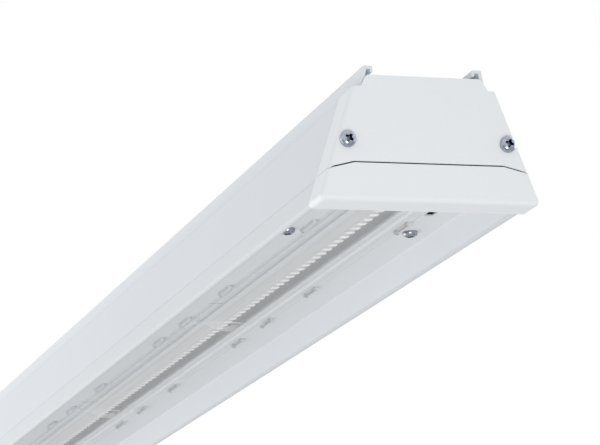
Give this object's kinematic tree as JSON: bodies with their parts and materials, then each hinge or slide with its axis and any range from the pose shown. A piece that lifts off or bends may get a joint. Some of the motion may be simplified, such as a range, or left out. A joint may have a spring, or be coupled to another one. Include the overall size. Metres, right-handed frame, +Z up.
{
  "type": "linear led luminaire",
  "caption": "Linear industrial LED luminaire: flared white housing with hooked hanging rails, folded reflector tray with end caps, clear lenses over a row of LEDs, driver and terminal inside.",
  "frame": {"origin": "midway along and across, level with the tops of the hanging rails", "axes": "+Y along the luminaire, +Z up to the ceiling, +X across"},
  "size_m": [0.1044, 1.2158, 0.0629],
  "materials": {
    "housing_coat": "satin white powder coat on aluminium",
    "sheet_coat": "satin white powder coat on sheet steel",
    "tray_coat": "satin white reflector coat on sheet steel",
    "zinc_screw": "bright zinc plate",
    "galvanised_steel": "galvanised sheet",
    "clip_plastic": "moulded",
    "connector_plastic": "moulded",
    "terminal_plastic": "moulded",
    "grommet_rubber": "matt",
    "tinned_copper": "tinned",
    "board_mask": "solder mask",
    "led_package": "phosphor window in a white package",
    "clear_lens": "clear acrylic, extruded",
    "lead_white": "insulation",
    "lead_brown": "insulation",
    "lead_blue": "insulation",
    "lead_green": "insulation"
  },
  "bodies": {
    "root": {"housing": "housing_coat", "end_cap_front": "sheet_coat", "end_cap_rear": "sheet_coat", "end_cap_screws": "zinc_screw", "reflector_tray": "tray_coat", "tray_end_front": "sheet_coat", "tray_end_rear": "sheet_coat", "tray_screws": "zinc_screw", "tray_bridge_front": "galvanised_steel", "tray_bridge_rear": "galvanised_steel", "lens_clips": "clip_plastic", "board_connectors": "connector_plastic", "board_links": "lead_white", "driver_case": "galvanised_steel", "driver_input": "connector_plastic", "driver_output": "connector_plastic", "terminal_block": "terminal_plastic", "cable_grommet": "grommet_rubber", "earth_tab": "tinned_copper", "earth_receptacle": "tinned_copper", "lead_live": "lead_brown", "lead_neutral": "lead_blue", "lead_earth": "lead_green", "lead_led": "lead_white", "led_board_1": "board_mask", "leds_1": "led_package", "lens_1": "clear_lens", "led_board_2": "board_mask", "leds_2": "led_package", "lens_2": "clear_lens", "led_board_3": "board_mask", "leds_3": "led_package", "lens_3": "clear_lens", "led_board_4": "board_mask", "leds_4": "led_package", "lens_4": "clear_lens"}
  },
  "joints": []
}
